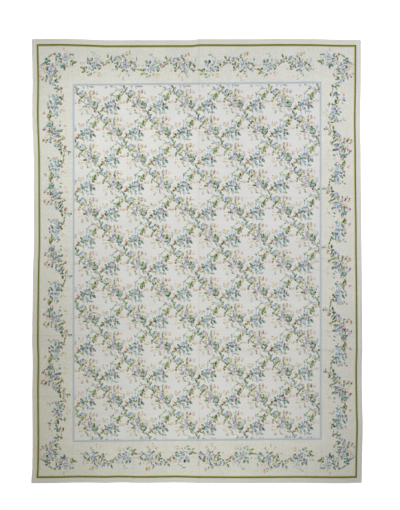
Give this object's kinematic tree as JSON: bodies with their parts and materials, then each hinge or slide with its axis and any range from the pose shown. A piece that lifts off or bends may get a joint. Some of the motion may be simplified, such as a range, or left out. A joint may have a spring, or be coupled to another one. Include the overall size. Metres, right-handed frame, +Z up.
{
  "type": "floral flat-woven area rug",
  "caption": "Large rectangular flat-woven wool rug in the aubusson manner, ivory with pastel flowers, that lies flat on a floor.",
  "frame": {"origin": "under the middle of the rug, on the floor", "axes": "+X across the width, +Y along the length, +Z up out of the patterned face"},
  "size_m": [2.7636, 3.7079, 0.0072],
  "materials": {
    "wool": "matt tapestry-woven wool, ivory ground with pastel floral pattern"
  },
  "bodies": {
    "root": {"rug": "wool"}
  },
  "joints": []
}
